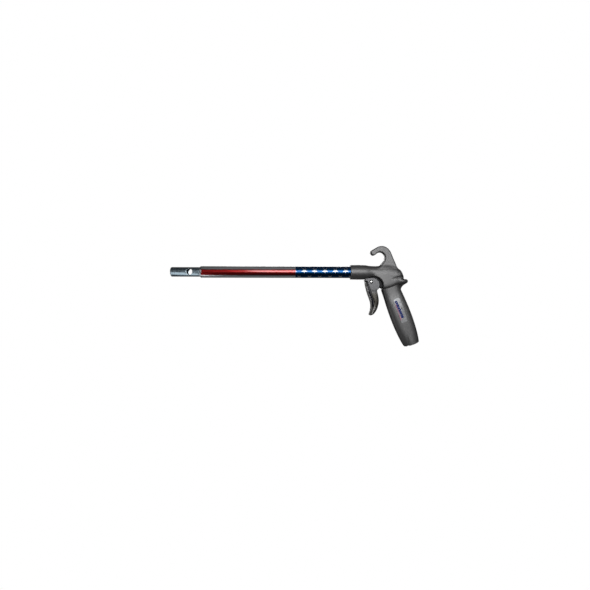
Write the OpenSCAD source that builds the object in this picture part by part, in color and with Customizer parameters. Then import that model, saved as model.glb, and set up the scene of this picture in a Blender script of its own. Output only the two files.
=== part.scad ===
// Compressed-air blow gun: a cast pistol body with a hang hook, a long double-walled
// extension, a venturi nozzle with a vent hole across it, a channel trigger on a cross pin
// and a sprung poppet valve. Millimetres. The origin is the centre of the air inlet's mouth
// at the foot of the grip, -X runs along the barrel to the nozzle, +Z is up.

/* [Extension] */
// length of the extension from the body's socket face to the nozzle's tip
reach = 301.1; // [150:0.1:610]
// outside diameter of the sleeve tube
sleeve_od = 19.05; // [16:0.05:25.4]
// wall of the sleeve tube
sleeve_wall = 1.25; // [0.9:0.05:2]
// outside diameter of the inner air pipe
pipe_od = 12.7; // [9:0.05:13.5]
// bore of the inner air pipe
pipe_id = 9.4; // [6:0.1:10.5]
// length of the star-patterned film next to the body
star_len = 92; // [40:0.1:150]
// thickness of the printed film round the sleeve
film = 0.1; // [0.05:0.01:0.3]

/* [Nozzle] */
// length of the nozzle that shows in front of the sleeve
nozzle_out = 48.6; // [30:0.1:80]
// length of the bare ring at the sleeve's front end
ring_len = 3.6; // [1.6:0.1:8]
// outside diameter of the nozzle
nozzle_od = 16; // [14:0.1:17]
// bore of the nozzle in front of the jet
mix_bore = 11.6; // [8:0.1:12.5]
// diameter of the vent hole across the nozzle
vent_d = 10.5; // [5:0.1:11]
// distance from the nozzle's tip to the centre of the vent hole
vent_at = 32; // [15:0.1:40]
// orifice of the jet inside the nozzle
jet_d = 4.5; // [2:0.1:6]

/* [Body] */
// outside diameter of the barrel socket
socket_od = 24.2; // [22:0.1:28]
// depth of the barrel socket
socket_deep = 18.5; // [12:0.5:20]
// width of the body across its sides
body_w = 24; // [21:0.5:30]
// side-to-side thickness of the hang hook
hook_w = 10; // [6:0.5:16]
// backward lean of the grip from vertical
grip_tilt = 21; // [15:0.5:30]
// side-to-side thickness of the grip
grip_w = 24.8; // [22:0.2:30]
// wall radius of the air inlet, a quarter-inch pipe thread
inlet_r = 5.6; // [5:0.05:6.5]
// depth of the air inlet
inlet_deep = 14; // [10:0.5:18]

/* [Trigger] */
// forward offset of the trigger pin from the socket face
pin_x = 34.4; // [30:0.1:40]
// height of the trigger pin, below the barrel's axis
pin_z = -16.2; // [-20:0.1:-14]
// diameter of the trigger pin
pin_d = 4; // [3:0.1:5]
// distance across the outside of the trigger's cheeks
cheek_w = 16; // [14:0.2:20]
// wall of the trigger's channel
trigger_wall = 2; // [1.2:0.1:3]

/* [Valve] */
// upward lean of the valve's axis towards the rear
valve_tilt = 24; // [18:0.5:30]
// distance from the trigger pin to the valve's axis
arm = 8.6; // [7:0.1:10]
// diameter of the valve stem
stem_d = 4; // [3:0.1:5]
// bore of the valve seat
seat_bore = 8.4; // [6:0.1:9]

/* [Hidden] */
// the inlet's mouth, seen from the socket face on the barrel's axis
inlet_x = 103.5;
inlet_z = -120;
web = 5.6;
e = 0.02;
su = sin(valve_tilt);
cu = cos(valve_tilt);
foot_x = pin_x + arm * su;
foot_z = pin_z - arm * cu;
tip_x = -reach;
sleeve_front = tip_x + nozzle_out;
jet_at = vent_at + vent_d / 2 + 0.4;
jet_len = nozzle_out + 0.4 - jet_at;
arc_x = 37.6;
arc_z = -22.3;

// rings of points, all of one length, skinned into a closed solid
module skin(rings) {
    n = len(rings[0]);
    m = len(rings);
    points = [for (r = rings) for (p = r) p];
    side = [for (j = [0:m - 2]) for (i = [0:n - 1]) let (k = (i + 1) % n)
        [j * n + i, j * n + k, (j + 1) * n + k]];
    back = [for (j = [0:m - 2]) for (i = [0:n - 1]) let (k = (i + 1) % n)
        [j * n + i, (j + 1) * n + k, (j + 1) * n + i]];
    first = [[for (i = [n - 1:-1:0]) i]];
    last = [[for (i = [0:n - 1]) (m - 1) * n + i]];
    polyhedron(points = points, faces = concat(first, side, back, last), convexity = 6);
}

// a superellipse of half-axes a and b, with power p
function oval(a, b, p, n) = [for (i = [0:n - 1])
    let (c = cos(360 * i / n), s = sin(360 * i / n))
    [a * sign(c) * pow(abs(c), 2 / p), b * sign(s) * pow(abs(s), 2 / p)]];

// barrel frame to part frame
module home() translate([-inlet_x, 0, -inlet_z]) children();

// along +Z becomes along +X from the socket face
module along_x(x) translate([x, 0, 0]) rotate([0, 90, 0]) children();

// along +Z becomes along the valve's axis, q = 0 abreast of the pin
module along_valve(q) translate([foot_x, 0, foot_z]) rotate([0, 90 - valve_tilt, 0])
    translate([0, 0, q]) children();

// along +Z becomes up the grip from the inlet's mouth
module up_grip(s) translate([inlet_x, 0, inlet_z]) rotate([0, -grip_tilt, 0])
    translate([0, 0, s]) children();

// a solid of thickness w across Y from an outline in X and Z
module slab(w) rotate([90, 0, 0]) translate([0, 0, -w / 2]) linear_extrude(height = w) children();

// ---- body ----

module neck() along_x(0) rotate_extrude($fn = 96)
    polygon([[0, 0], [socket_od / 2 - 0.6, 0], [socket_od / 2, 0.6], [socket_od / 2, 22],
        [socket_od / 2 - 0.35, 27], [socket_od / 2 - 1.2, 32], [10.5, 37], [10.3, 44],
        [10.3, 52], [0, 52]]);

// the middle of the casting: x, top, bottom, half width and power of each cross section
mass = [[36, 10.2, -10.4, 10.3, 2], [43, 10.3, -17, 11, 2.2],
    [50, 10.8, -26.6, body_w / 2 - 0.3, 2.5], [57, 11.4, -28.6, body_w / 2, 2.7],
    [64, 11.2, -27.4, body_w / 2, 2.7], [71, 9.4, -24.2, body_w / 2 - 0.1, 2.6],
    [78, 7.6, -21.4, body_w / 2 - 0.6, 2.4], [84, 2.4, -19.6, body_w / 2 - 1.8, 2.3],
    [88.4, -5.4, -17.6, body_w / 2 - 5, 2]];
module middle() skin([for (r = mass) [for (p = oval((r[1] - r[2]) / 2, r[3], r[4], 28))
    [r[0], p[1], (r[1] + r[2]) / 2 + p[0]]]]);

// the hook: an inner and an outer arc, straight to the root behind and to a round tip
function on_arc(c, r, a) = [c[0] + r * cos(a), c[1] + r * sin(a)];
hook_in = [49.9, 25.3];
hook_out = [52.5, 28.6];
hook_pairs = concat(
    [[[46.5, 6], [78, 6]], [[53.4, 15.4], [75.5, 14]], [[57, 19.6], [72.6, 21.2]]],
    [for (a = [0:16.5:132]) [on_arc(hook_in, 8.3, a), on_arc(hook_out, 15.6 + max(0, 1 - a / 30),
        8 + a * 0.86)]],
    [[[41.3, 29.1], [36.6, 37.3]], [[40.1, 28.6], [34.6, 35.5]], [[38.3, 28.3], [33.8, 33.3]],
        [[36.6, 29], [34.4, 31.3]]]);
hook_half = [1.05, 1.02, 1, 1, 1, 1, 1, 1, 1, 1, 1, 1, 0.98, 0.92, 0.75, 0.4];
module hook() skin([for (j = [0:len(hook_pairs) - 1])
    let (q = hook_pairs[j], m = (q[0] + q[1]) / 2, d = (q[1] - q[0]) / 2)
    [for (p = oval(1, hook_w / 2 * hook_half[j], j < 3 ? 3 : 2.5, 20))
        [m[0] + d[0] * p[0], -p[1], m[1] + d[1] * p[0]]]]);

// the thumb rest behind the grip
module thumb_rest() translate([85.2, 0, 0]) rotate_extrude($fn = 72)
    polygon([[0, -11.4], [8.6, -11.5], [10.5, -12.1], [11.5, -13.4], [11.7, -15.2], [11.1, -16.9],
        [9.3, -18.4], [6.2, -20.3], [3.4, -22.6], [1.4, -25.6], [0, -29]]);

// height above the inlet, half depth front to back, half width and power
grip = [[0, 12.9, grip_w / 2 - 0.3, 2.1], [7, 14.4, grip_w / 2, 2.2],
    [14, 15.3, grip_w / 2, 2.4], [25, 16.2, grip_w / 2, 2.7], [42, 16.9, grip_w / 2, 3],
    [62, 16.8, grip_w / 2, 3], [82, 16.1, grip_w / 2 - 0.4, 2.9], [106, 15, grip_w / 2 - 1, 2.8]];
module handle() skin([for (r = grip) [for (p = oval(r[1], r[2], r[3], 32))
    [inlet_x - r[0] * sin(grip_tilt) + p[0] * cos(grip_tilt), -p[1],
        inlet_z + r[0] * cos(grip_tilt) + p[0] * sin(grip_tilt)]]]);

module valve_boss() along_valve(34) cylinder(r = 9.4, h = 17.4, $fn = 72);

// room for the trigger's cheeks, on both sides of the web
module recess() slab(40) union() {
    translate([arc_x, arc_z]) circle(r = 15, $fn = 96);
    polygon([[21.9, -34], [21.9, -11.3], [24, -10.4], [30, -8.8], [arc_x, -7.3], [arc_x, -34]]);
}

// the web that carries the pin and the stem's gland
module web_lug() {
    slab(2 * web) polygon([[28, -5], [28.6, -16], [30, -19.6], [33, -21.6], [36, -21.5],
        [38.8, -19.2], [43.9, -17], [47.6, -25.2], [52.6, -27], [58, -27], [58, -5]]);
}

module bores() {
    along_x(-1) cylinder(r = sleeve_od / 2 + 0.06, h = socket_deep + 1, $fn = 96);
    along_x(socket_deep - 0.1) cylinder(r = 8.12, h = 2.2, $fn = 72);
    along_x(0) cylinder(r = pipe_od / 2 + 0.03, h = 41, $fn = 72);
    along_x(30) cylinder(r = pipe_id / 2, h = 29, $fn = 48);
    translate([pin_x, 0, pin_z]) rotate([90, 0, 0])
        cylinder(r = pin_d / 2, h = 30, center = true, $fn = 48);
    along_valve(4) cylinder(r = stem_d / 2 + 0.15, h = 20, $fn = 48);
    along_valve(10) cylinder(r = 4, h = 12, $fn = 48);
    along_valve(20) cylinder(r = 6, h = 12, $fn = 64);
    along_valve(29.5) cylinder(r = 7, h = 24, $fn = 64);
    along_valve(50.2) cylinder(r = 8.4, h = 4, $fn = 64);
    along_valve(51.44) cylinder(r = 9.55, h = 6, $fn = 72);
    // from the barrel down to the front chamber
    translate([55, 0, 0]) rotate([0, 180 - atan(3.9 / 14.7), 0]) cylinder(r = 4, h = 15, $fn = 48);
    // inlet and the passage up the grip
    up_grip(-2) cylinder(r = inlet_r, h = inlet_deep + 2, $fn = 72);
    up_grip(inlet_deep - 1) cylinder(r = 3.9, h = 69, $fn = 48);
    translate([inlet_x, 0, inlet_z] + 82 * [-sin(grip_tilt), 0, cos(grip_tilt)]) {
        sphere(r = 4.3, $fn = 48);
        rotate([0, 3.6, 0]) cylinder(r = 3.9, h = 32, $fn = 48);
    }
}

module body_casting() color([0.42, 0.42, 0.42]) home() difference() {
    union() {
        difference() {
            union() {
                neck();
                middle();
                handle();
            }
            recess();
        }
        web_lug();
        hook();
        thumb_rest();
        valve_boss();
    }
    bores();
}

// ---- valve ----

module valve_cap() color([0.4, 0.4, 0.4]) home() along_valve(0) rotate_extrude($fn = 96)
    polygon([[0, 48.5], [4.9, 48.5], [4.9, 44], [5.9, 44], [6.95, 45], [6.95, 51.5], [9.4, 51.5],
        [9.4, 52.2], [8.8, 52.9], [7, 53.3], [4.7, 53.6], [2.3, 53.75], [0, 53.8]]);

module ring(q, r, w) along_valve(q) rotate_extrude($fn = 64) translate([r, 0]) circle(r = w, $fn = 24);

module cap_o_ring() color([0.06, 0.06, 0.06]) home() ring(50.85, 7.68, 0.6);

module valve_seat() color([0.75, 0.6, 0.32]) home() along_valve(0) rotate_extrude($fn = 96)
    polygon([[seat_bore / 2, 29.6], [6.95, 29.6], [6.95, 30.1], [5.9, 30.1], [5.9, 31.5],
        [6.95, 31.5], [6.95, 32], [5.6, 32], [5.2, 32.5], [4.6, 32.5], [seat_bore / 2, 32]]);

module seat_o_ring() color([0.06, 0.06, 0.06]) home() ring(30.8, 6.45, 0.5);

module stem_gland() color([0.75, 0.6, 0.32]) home() along_valve(12.2) difference() {
    cylinder(r = 3.95, h = 7.6, $fn = 64);
    translate([0, 0, -1]) cylinder(r = stem_d / 2 + 0.05, h = 10, $fn = 64);
}

module stem_o_ring() color([0.06, 0.06, 0.06]) home() ring(11.1, 3, 0.93);

// one round wire: closed end coils and open coils between them
coils = 6;
module return_spring() color([0.7, 0.7, 0.72]) home() along_valve(36.6)
    skin([for (i = [0:coils * 12]) let (a = 30 * i, t = i / (coils * 12),
        rise = 11.2 * (t < 0.15 ? t * 0.55 : t > 0.85 ? 1 - (1 - t) * 0.55 : 0.0825 + (t - 0.15) * 1.193))
        [for (p = oval(0.5, 0.5, 2, 8)) [(3.9 + p[0]) * cos(a), (3.9 + p[0]) * sin(a), rise - p[1]]]]);

module valve_stem() color([0.78, 0.78, 0.8]) home() along_valve(0) rotate_extrude($fn = 64)
    polygon([[0, 0.15], [1.2, 0.35], [1.85, 0.95], [2, 1.7], [2, 34.7], [5.6, 34.7], [5.6, 35.9],
        [2.6, 35.9], [2.6, 38.6], [2.2, 39], [0, 39]]);

module poppet_seal() color([0.07, 0.07, 0.07]) home() along_valve(32.58) difference() {
    cylinder(r = 5.6, h = 2.08, $fn = 64);
    translate([0, 0, -1]) cylinder(r = stem_d / 2 + 0.03, h = 5, $fn = 64);
}

module poppet_retainer() color([0.75, 0.6, 0.32]) home() along_valve(31.5) difference() {
    cylinder(r = 3.4, h = 1.04, $fn = 64);
    translate([0, 0, -1]) cylinder(r = stem_d / 2 + 0.02, h = 5, $fn = 64);
}

// ---- trigger ----

// z, front, rear and half width of the lever's channel
lever = [[-17.6, 24.4, 43.6, 8], [-24, 25.8, 43.7, 8], [-30, 27.3, 43.9, 7.9],
    [-37.7, 29.6, 45.6, 7.6], [-44.4, 32.1, 46.8, 7.3], [-50.5, 34, 46.9, 7],
    [-56.2, 34.6, 45.9, 6.7], [-62, 34, 44, 6.4], [-67, 32.6, 41.3, 6.1],
    [-70.6, 31.8, 38.2, 5.6], [-72.4, 32.6, 35.8, 3.9]];

// a U with an elliptical nose: g is how far the wall is taken in, back how far it runs on
function channel(r, g, back) = concat(
    [[r[2] + back, r[3] - g, r[0]]],
    [for (a = [-90:15:90]) let (nose = min(4.6, (r[2] - r[1]) * 0.6))
        [r[1] + nose - (nose - g) * cos(a), -(r[3] - g) * sin(a), r[0]]],
    [[r[2] + back, -(r[3] - g), r[0]]]);

module cheeks() slab(cheek_w) union() {
    intersection() {
        translate([arc_x, arc_z]) circle(r = 13, $fn = 96);
        polygon([[arc_x - 4.5, -5], [60, -5], [60, -25], [50.2, -27], [44, -29.6], [40, -33], [32, -33]]);
    }
    polygon([[25, -11.9], [26.4, -11], [29.4, -10.1], [33, -9.6], [36.4, -9.4], [44, -16],
        [43.7, -29.4], [40, -33], [32, -33], [29, -20], [27.6, -17.6], [25.3, -17.2]]);
}

module trigger() color([0.55, 0.53, 0.5]) home() difference() {
    union() {
        difference() {
            union() {
                skin([for (r = lever) channel(r, 0, 0)]);
                cheeks();
            }
            // the channel's hollow, open behind and above
            skin([for (r = [for (i = [0:8]) lever[i]]) let (z = i_z(r))
                channel([z, r[1], r[2], r[3]], trigger_wall, 12)]);
            slab(cheek_w - 2 * trigger_wall) polygon([[20, -2], [60, -2], [60, -32], [31, -32],
                [28.4, -23], [27, -17.7], [20, -17.7]]);
        }
        // the pad that pushes the stem
        slab(5.4) polygon([[27.4, -25.4], [33.4, -22.7], [foot_x - 2.6 * su, foot_z + 2.6 * cu],
            [foot_x + 3.4 * su, foot_z - 3.4 * cu], [foot_x - 1, foot_z - 6.6], [29.4, -34]]);
    }
    translate([pin_x, 0, pin_z]) rotate([90, 0, 0])
        cylinder(r = pin_d / 2 + 0.08, h = 30, center = true, $fn = 48);
}
function i_z(r) = r[0] > -18 ? r[0] + 0.5 : r[0];

module trigger_pin() color([0.85, 0.85, 0.86]) home() translate([pin_x, cheek_w / 2 + 1, pin_z])
    rotate([90, 0, 0]) rotate_extrude($fn = 64)
    polygon([[0, 0], [pin_d / 2 - 0.3, 0], [pin_d / 2 - 0.02, 0.3], [pin_d / 2 - 0.02, cheek_w + 1.3],
        [pin_d / 2 - 0.4, cheek_w + 1.7], [0, cheek_w + 1.8]]);

module pin_retaining_ring() color([0.3, 0.3, 0.32]) home()
    translate([pin_x, cheek_w / 2 + 0.8, pin_z]) rotate([90, 0, 0]) difference() {
        cylinder(r = 3.5, h = 0.6, $fn = 48);
        translate([0, 0, -1]) cylinder(r = pin_d / 2, h = 3, $fn = 48);
    }

// ---- extension ----

module tube(x, l, ro, ri) along_x(x) difference() {
    cylinder(r = ro, h = l, $fn = 96);
    translate([0, 0, -1]) cylinder(r = ri, h = l + 2, $fn = 96);
}

module air_pipe() color([0.75, 0.75, 0.77]) home()
    tube(sleeve_front + 0.5, 40.5 - sleeve_front, pipe_od / 2, pipe_id / 2);

module pipe_o_ring() color([0.06, 0.06, 0.06]) home() along_x(socket_deep + 1)
    rotate_extrude($fn = 64) translate([pipe_od / 2 + 0.88, 0]) circle(r = 0.85, $fn = 24);

module outer_sleeve() color([0.7, 0.71, 0.73]) home()
    tube(sleeve_front + ring_len, socket_deep - 0.2 - ring_len - sleeve_front, sleeve_od / 2,
        sleeve_od / 2 - sleeve_wall);

module star_wrap() color([0.05, 0.15, 0.5]) home()
    tube(-star_len, star_len - 0.15, sleeve_od / 2 + film, sleeve_od / 2 + 0.005);

module stripe_wrap() color([0.6, 0.1, 0.1]) home()
    tube(sleeve_front + ring_len + 0.05, -star_len - sleeve_front - ring_len - 0.1, sleeve_od / 2 + film,
        sleeve_od / 2 + 0.005);

module front_bush() color([0.6, 0.61, 0.63]) home() along_x(sleeve_front) rotate_extrude($fn = 96)
    polygon([[7.36, 0.05], [8.3, 0.05], [sleeve_od / 2 + 0.1, 1.5], [sleeve_od / 2 + 0.1, ring_len - 0.05],
        [sleeve_od / 2 - sleeve_wall - 0.03, ring_len - 0.05], [sleeve_od / 2 - sleeve_wall - 0.03, 11],
        [7.36, 11]]);

module nozzle() color([0.55, 0.6, 0.65]) home() difference() {
    along_x(tip_x) rotate_extrude($fn = 96)
        polygon([[0, 0], [nozzle_od / 2 - 1.2, 0], [nozzle_od / 2 - 0.35, 0.35], [nozzle_od / 2, 1.2],
            [nozzle_od / 2, nozzle_out], [7.3, nozzle_out], [7.3, nozzle_out + 14], [0, nozzle_out + 14]]);
    along_x(tip_x - 1) cylinder(r = mix_bore / 2, h = jet_at + 2, $fn = 72);
    along_x(tip_x + jet_at) cylinder(r = pipe_od / 2 + 0.03, h = 40, $fn = 72);
    translate([tip_x + vent_at, 0, 0]) rotate([90, 0, 0])
        cylinder(r = vent_d / 2, h = 40, center = true, $fn = 72);
}

module nozzle_jet() color([0.75, 0.6, 0.32]) home() along_x(tip_x + jet_at + 0.05)
    rotate_extrude($fn = 72)
    polygon([[jet_d / 2, 0], [pipe_od / 2, 0], [pipe_od / 2, jet_len], [pipe_id / 2, jet_len],
        [jet_d / 2, jet_len - 5]]);

// ---- label ----

module label_plate() color([0.72, 0.73, 0.75]) home() up_grip(60)
    translate([0, -grip_w / 2 - 0.03, 0]) rotate([90, 0, 0]) linear_extrude(height = 0.25)
    rotate([0, 0, -1.5]) union() {
        square([10.5, 36], center = true);
        square([6.3, 40.2], center = true);
        for (x = [-1, 1], y = [-1, 1]) translate([x * 3.15, y * 18]) circle(r = 2.1, $fn = 32);
    }

body_casting();
valve_cap();
cap_o_ring();
valve_seat();
seat_o_ring();
stem_gland();
stem_o_ring();
return_spring();
valve_stem();
poppet_seal();
poppet_retainer();
trigger();
trigger_pin();
pin_retaining_ring();
air_pipe();
pipe_o_ring();
outer_sleeve();
star_wrap();
stripe_wrap();
front_bush();
nozzle();
nozzle_jet();
label_plate();
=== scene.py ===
import math

import bmesh
import bpy
import numpy as np
from mathutils import Matrix, Vector


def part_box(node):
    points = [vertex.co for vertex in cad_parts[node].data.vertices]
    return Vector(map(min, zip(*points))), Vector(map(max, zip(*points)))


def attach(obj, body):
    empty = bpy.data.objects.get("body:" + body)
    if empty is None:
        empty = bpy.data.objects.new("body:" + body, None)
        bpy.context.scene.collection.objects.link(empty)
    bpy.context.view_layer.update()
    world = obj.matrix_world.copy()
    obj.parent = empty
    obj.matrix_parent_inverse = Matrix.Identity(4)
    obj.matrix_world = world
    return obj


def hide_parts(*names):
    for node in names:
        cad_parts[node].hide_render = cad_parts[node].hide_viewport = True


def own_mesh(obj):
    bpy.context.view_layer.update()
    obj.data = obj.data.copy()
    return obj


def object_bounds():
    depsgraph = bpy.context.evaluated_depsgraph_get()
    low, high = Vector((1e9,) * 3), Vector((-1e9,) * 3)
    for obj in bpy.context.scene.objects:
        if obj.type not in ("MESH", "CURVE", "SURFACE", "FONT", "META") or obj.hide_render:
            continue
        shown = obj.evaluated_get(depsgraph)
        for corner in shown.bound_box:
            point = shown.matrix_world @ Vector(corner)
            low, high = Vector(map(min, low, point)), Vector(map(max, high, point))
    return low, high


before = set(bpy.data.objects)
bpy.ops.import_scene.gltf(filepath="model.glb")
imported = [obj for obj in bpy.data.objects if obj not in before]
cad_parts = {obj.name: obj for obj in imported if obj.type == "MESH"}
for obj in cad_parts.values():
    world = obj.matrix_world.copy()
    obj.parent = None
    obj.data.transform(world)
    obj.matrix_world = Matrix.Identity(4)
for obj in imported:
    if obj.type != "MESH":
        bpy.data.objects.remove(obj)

cad_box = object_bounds()

# The casting, the trigger and the nozzle are implicit surfaces: a field in millimetres that is
# negative inside, meshed on a grid and then drawn onto its zero surface. The rest is lathes,
# sweeps and patches. Everything is made in the barrel's frame, in millimetres: the origin is on
# the barrel's axis at the socket's face, -X runs to the nozzle, +Z is up, -Y is the label's side.
MM = 0.001
sleeve_lo, sleeve_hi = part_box("outer_sleeve")
HOME = np.array([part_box("body_casting")[0].x, 0.0, (sleeve_lo.z + sleeve_hi.z) / 2])


def at_home(value, axis=0):
    """A coordinate of the row frame in metres, as millimetres in the barrel's frame."""
    return float((value - HOME[axis]) / MM)


# sizes read from the frame
TIP = at_home(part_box("nozzle")[0].x)
RING = at_home(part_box("front_bush")[0].x)
STRIPES = at_home(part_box("stripe_wrap")[0].x)
STARS = at_home(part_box("star_wrap")[0].x)
FILM_END = at_home(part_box("star_wrap")[1].x)
FILM_R = (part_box("star_wrap")[1].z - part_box("star_wrap")[0].z) / 2 / MM
JET = at_home(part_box("nozzle_jet")[0].x)
NOZZLE_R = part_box("nozzle")[1].y / MM
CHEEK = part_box("trigger")[1].y / MM

# sizes of the design: the grip leans by TILT, and the valve's axis rises by VALVE from its FOOT,
# which is ARM below the trigger's pin
INLET = np.array([103.5, 0.0, -120.0])
TILT = math.radians(21)
UP_GRIP = np.array([-math.sin(TILT), 0.0, math.cos(TILT)])
VALVE = math.radians(24)
PIN = np.array([34.4, 0.0, -16.2])
ARM = 8.6
FOOT = PIN + ARM * np.array([math.sin(VALVE), 0.0, -math.cos(VALVE)])
AXIS = np.array([math.cos(VALVE), 0.0, math.sin(VALVE)])
CAP_SEAT = 51.44
# the round recess that the trigger swings in, and the round of its cheeks
RECESS_AT = (38.6, -22.7)
RECESS_R = 15.1
FAN_AT = (36.2, -21.4)
FAN_R = 12
# the trigger's blade
BLADE_TOP = -17.6
BLADE_FOOT = -72.4
WALL = 2.0
# above this angle an edge of a cast piece is drawn sharp, in degrees
CAST_ANGLE = 46


# ---- fields ----

def smin(a, b, k):
    """The union of two fields, blended over about k."""
    h = np.clip(0.5 + 0.5 * (b - a) / k, 0, 1)
    return b + (a - b) * h - k * h * (1 - h)


def smax(a, b, k):
    """What two fields have in common, blended over about k."""
    return -smin(-a, -b, k)


def spline(t, knots, values):
    """A smooth curve through values at knots, held level past its ends."""
    k, v = np.asarray(knots, float), np.asarray(values, float)
    slope = np.gradient(v, k)
    i = np.clip(np.searchsorted(k, t) - 1, 0, len(k) - 2)
    h = k[i + 1] - k[i]
    u = np.clip((t - k[i]) / h, 0, 1)
    a, b = (1 + 2 * u) * (1 - u) ** 2, u * (1 - u) ** 2
    c, d = u * u * (3 - 2 * u), u * u * (u - 1)
    return a * v[i] + b * h * slope[i] + c * v[i + 1] + d * h * slope[i + 1]


def smooth_line(points):
    """The given points and two more in each span, on a spline through them."""
    p, per_span = np.asarray(points, float), 3
    t = np.linspace(0, len(p) - 1, (len(p) - 1) * per_span + 1)
    return np.stack([spline(t, np.arange(len(p)), p[:, k]) for k in range(p.shape[1])], 1)


def polygon(u, v, outline):
    """Signed distance in a plane from a closed outline."""
    best, inside = np.full(u.shape, np.inf), np.zeros(u.shape, bool)
    for (ax, ay), (bx, by) in zip(outline, np.roll(outline, -1, 0)):
        ex, ey, wx, wy = bx - ax, by - ay, u - ax, v - ay
        t = np.clip((wx * ex + wy * ey) / (ex * ex + ey * ey), 0, 1)
        best = np.minimum(best, (wx - ex * t) ** 2 + (wy - ey * t) ** 2)
        if ay != by:
            inside ^= ((ay > v) != (by > v)) & (wx < ex * wy / ey)
    return np.where(inside, -1, 1) * np.sqrt(best)


def oval(u, v, a, b, n):
    """Distance along the ray from a superellipse of half axes a and b and power n."""
    size = np.hypot(u, v) + 1e-9
    f = (np.abs(u / a) ** n + np.abs(v / b) ** n) ** (1 / n) + 1e-9
    return size - size / f


def plate(flat, y, half, edge):
    """A flat field given thickness 2 * half across Y, its edges rounded."""
    p, q = flat + edge, np.abs(y) - half + edge
    return np.minimum(np.maximum(p, q), 0) + np.hypot(np.maximum(p, 0), np.maximum(q, 0)) - edge


def segment(u, v, a, b):
    """Distance in a plane from the line a to b, and how far along it, 0 to 1."""
    e = np.subtract(b, a)
    t = np.clip(((u - a[0]) * e[0] + (v - a[1]) * e[1]) / (e @ e), 0, 1)
    return np.hypot(u - a[0] - e[0] * t, v - a[1] - e[1] * t), t


def grip_frame(x, z):
    """How far behind the grip's axis, and how far up it from the inlet's mouth."""
    dx, dz = x - INLET[0], z - INLET[2]
    return (dx * math.cos(TILT) + dz * math.sin(TILT),
            -dx * math.sin(TILT) + dz * math.cos(TILT))


# height up the grip, half depth, half width, power
GRIP = np.array([[0, 12.9, 12.1, 2.1], [7, 14.4, 12.4, 2.2], [14, 15.3, 12.4, 2.4],
                 [25, 16.2, 12.4, 2.7], [42, 16.9, 12.4, 3], [62, 16.8, 12.3, 3],
                 [76, 16.3, 11.5, 2.9], [88, 15.7, 10.1, 2.8], [106, 15, 9.9, 2.8]]).T
# x, top, bottom, half width, power above and power below
MASS = np.array([[36, 10.2, -10.4, 10.3, 2, 2], [43, 10.3, -17, 11, 2.2, 2.6],
                 [50, 10.8, -25.8, 11.7, 2.5, 5.5], [57, 11.4, -27.5, 12, 2.7, 6.5],
                 [64, 11.2, -26.4, 12, 2.7, 6.5], [71, 9.6, -23.4, 12, 2.6, 6],
                 [78, 8, -20.8, 11.8, 2.4, 5], [84, 2.4, -19.2, 10.8, 2.3, 4],
                 [88.4, -5.4, -17.6, 7.4, 2, 2.6]]).T


def neck(x, y, z):
    """The barrel's socket and the slimmer neck behind it."""
    radius = spline(x, [0, 22, 27, 32, 37, 44, 52], [12.1, 12.1, 11.75, 10.9, 10.5, 10.3, 10.3])
    side = np.hypot(y, z) - radius
    return smax(smax(side, -x, 0.9), x - 52, 2)


def middle(x, y, z):
    """The valve's housing."""
    top, low, half, up, down = (spline(x, MASS[0], MASS[k]) for k in range(1, 6))
    dz = z - (top + low) / 2
    side = oval(dz, y, (top - low) / 2, half, np.where(dz > 0, up, down))
    return smax(smax(side, 36 - x, 2), x - 88.6, 4)


def grip(x, y, z):
    """The grip, from the inlet's mouth up into the housing."""
    g, s = grip_frame(x, z)
    depth, half, power = (spline(s, GRIP[0], GRIP[k]) for k in range(1, 4))
    side = oval(g, y, depth, half, power)
    return smax(smax(side, -s, 1.0), s - 106, 2)


def arc_point(c, r, a):
    """The point at angle a on a circle."""
    return [c[0] + r * math.cos(math.radians(a)), c[1] + r * math.sin(math.radians(a))]


def hook_outline():
    """Up the hook's inner side to its tip, and back down its outer side."""
    inner = [[46.5, 6], [53.4, 15.4], [57, 19.6]]
    outer = [[78, 6], [75.5, 14], [72.6, 21.2]]
    for k in range(9):
        inner.append(arc_point((49.9, 25.3), 8.3, 16.5 * k))
        outer.append(arc_point((52.5, 28.6), 15.6 + max(0, 1 - 0.55 * k), 8 + 14.19 * k))
    inner += [[41.3, 29.1], [40.1, 28.6], [38.3, 28.3], [36.6, 29.0]]
    outer += [[36.6, 37.3], [34.6, 35.5], [33.8, 33.3], [34.4, 31.3]]
    return np.concatenate([smooth_line(inner), smooth_line(outer)[::-1]])


HOOK = hook_outline()


def hook(x, y, z):
    """The hang hook, thinner towards its top."""
    spread = spline(z, [-2, 8, 20, 34], [9.2, 8.1, 6.5, 5.0])
    return plate(polygon(x, z, HOOK), y, spread, 2.2)


# the thumb rest's outline: how far out, and how high
REST = smooth_line([[0, -11.4], [5, -11.4], [8.6, -11.5], [10.5, -12.1], [11.5, -13.4],
                    [11.7, -15.2], [11.1, -16.9], [9.3, -18.4], [6.2, -20.3], [3.4, -22.6],
                    [1.4, -25.6], [0, -29]])


def thumb_rest(x, y, z):
    """The thumb rest, turned about an upright axis at the back of the housing."""
    return polygon(np.hypot(x - 85.2, y), z, np.concatenate([REST, [[-2, -29], [-2, -11.4]]]))


def along_valve(x, y, z):
    """How far along the valve's axis from abreast of the pin, and how far from it."""
    dx, dz = x - FOOT[0], z - FOOT[2]
    q = dx * AXIS[0] + dz * AXIS[2]
    return q, np.hypot(dx * AXIS[2] - dz * AXIS[0], y)


def boss(x, y, z):
    """The round end of the housing that the valve cap closes."""
    q, r = along_valve(x, y, z)
    return smax(smax(r - 9.4, 34 - q, 1), q - 51.4, 0.5)


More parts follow.
